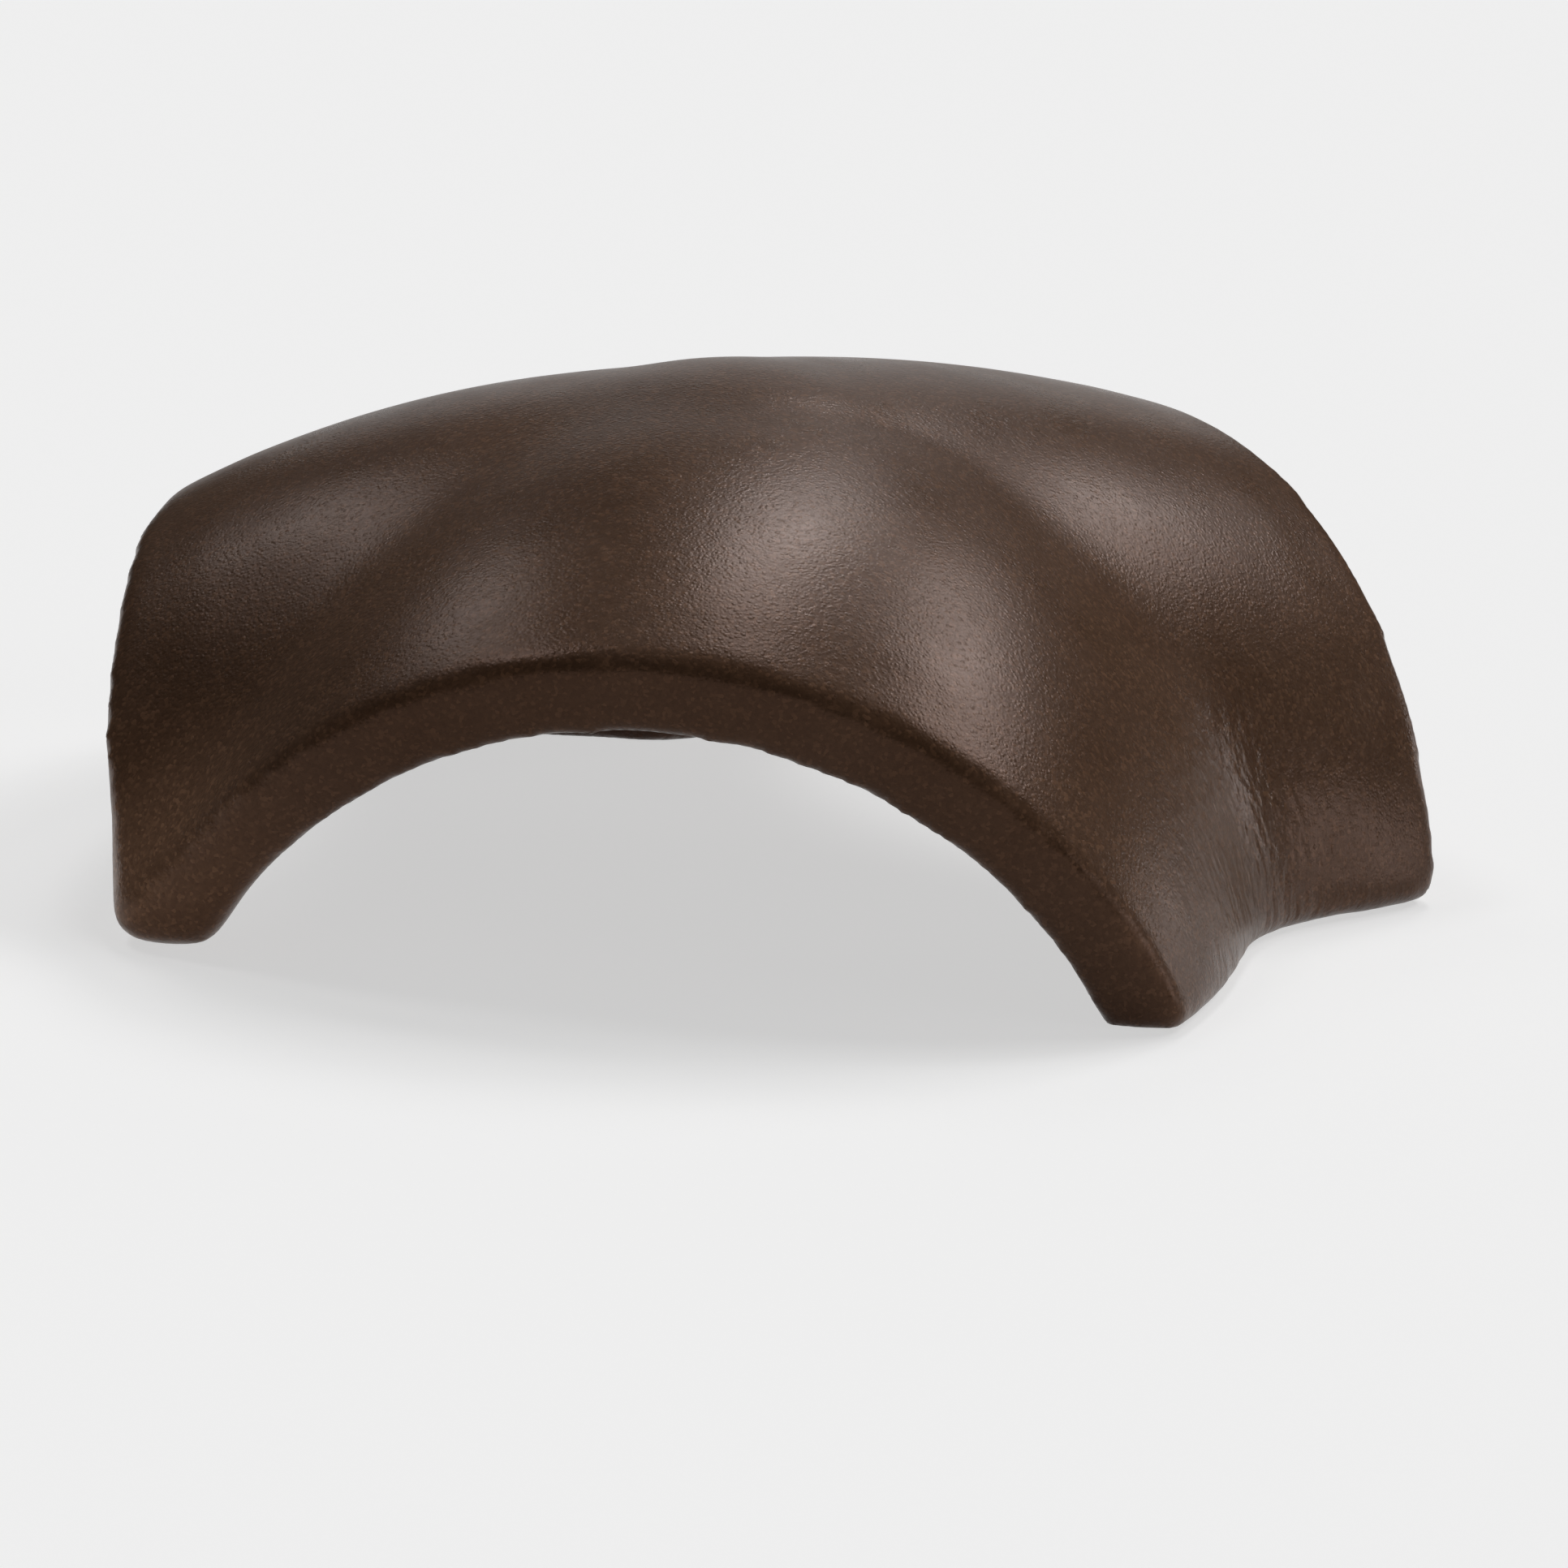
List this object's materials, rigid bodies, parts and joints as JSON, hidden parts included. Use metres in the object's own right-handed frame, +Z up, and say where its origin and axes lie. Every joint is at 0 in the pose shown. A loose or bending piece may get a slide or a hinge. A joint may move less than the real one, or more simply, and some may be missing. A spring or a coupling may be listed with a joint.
{
  "type": "three-way ridge tile",
  "caption": "Arched concrete roof cap for the apex where one level ridge meets two falling hips: an open shell of round-vaulted arms under a shared dome.",
  "frame": {"origin": "on the level foot, right under the point where the three crown lines meet", "axes": "+Z up, +Y along the level ridge arm, and the two hip arms fall away at 135 degrees to +Y on either side"},
  "size_m": [0.3448, 0.3067, 0.1219],
  "materials": {
    "concrete": "satin brown through-coloured concrete with a sanded skin"
  },
  "bodies": {
    "root": {"ridge_tile": "concrete"}
  },
  "joints": []
}
